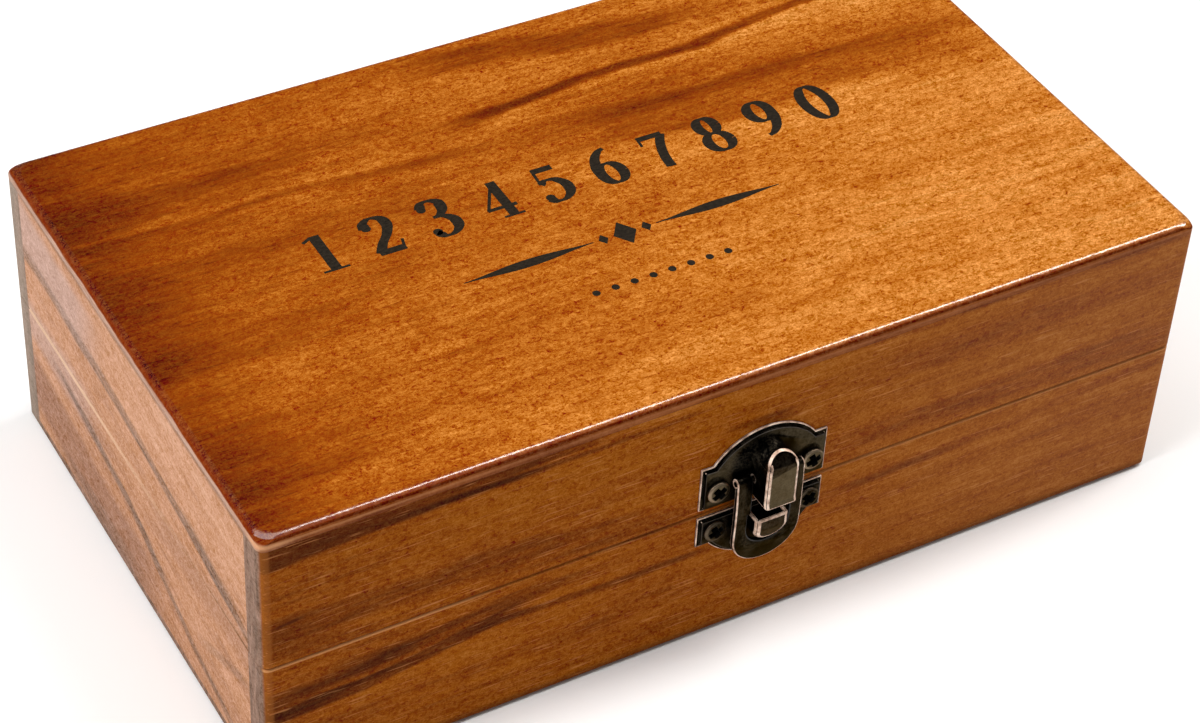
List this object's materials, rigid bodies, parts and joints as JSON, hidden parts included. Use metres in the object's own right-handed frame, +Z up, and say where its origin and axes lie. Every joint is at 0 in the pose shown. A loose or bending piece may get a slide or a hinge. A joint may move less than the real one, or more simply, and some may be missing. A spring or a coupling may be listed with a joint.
{
  "type": "stamp box",
  "caption": "Flat oblong wooden stamp box: boards and thin panels, a lid on rear butt hinges, and a bronze hasp latch whose ring flap drops over a nose.",
  "frame": {"origin": "middle of the box's underside, on the surface that it stands on", "axes": "+X along the front, to the right; +Y from the latch to the hinges; +Z up; the front faces -Y"},
  "size_m": [0.155, 0.1001, 0.05],
  "materials": {
    "top_wood": "glossy varnish, amber stain",
    "front_wood": "satin, brown stain",
    "side_wood": "matte, pinkish tan",
    "latch_bronze": "antique bronze, rubbed edges",
    "latch_screw_bronze": "antique bronze, rubbed",
    "hinge_brass": "antique bronze",
    "hinge_screw_brass": "antique bronze"
  },
  "bodies": {
    "base": {"base_front_board": "front_wood", "base_back_board": "front_wood", "base_left_board": "side_wood", "base_right_board": "side_wood", "base_bottom_panel": "front_wood", "hinge_left_base_leaf": "hinge_brass", "hinge_right_base_leaf": "hinge_brass", "hinge_left_pin": "hinge_brass", "hinge_right_pin": "hinge_brass", "hinge_base_screws": "hinge_screw_brass", "latch_lower_plate": "latch_bronze", "latch_lower_screws": "latch_screw_bronze"},
    "lid": {"lid_front_board": "front_wood", "lid_back_board": "front_wood", "lid_left_board": "side_wood", "lid_right_board": "side_wood", "lid_top_panel": "top_wood", "hinge_left_lid_leaf": "hinge_brass", "hinge_right_lid_leaf": "hinge_brass", "hinge_lid_screws": "hinge_screw_brass", "latch_upper_plate": "latch_bronze", "latch_upper_screws": "latch_screw_bronze", "latch_pin": "latch_bronze"},
    "latch_flap": {"latch_flap": "latch_bronze"}
  },
  "joints": [
    {"name": "lid_hinge", "type": "hinge", "parent": "base", "child": "lid", "pos_m": [0, 0.0471, 0.0254], "axis": [-1, 0, 0], "range_deg": [0, 180]},
    {"name": "latch_flap_hinge", "type": "hinge", "parent": "lid", "child": "latch_flap", "pos_m": [0.0021, -0.04735, 0.03125], "axis": [-1, 0, 0], "range_deg": [0, 175]}
  ]
}
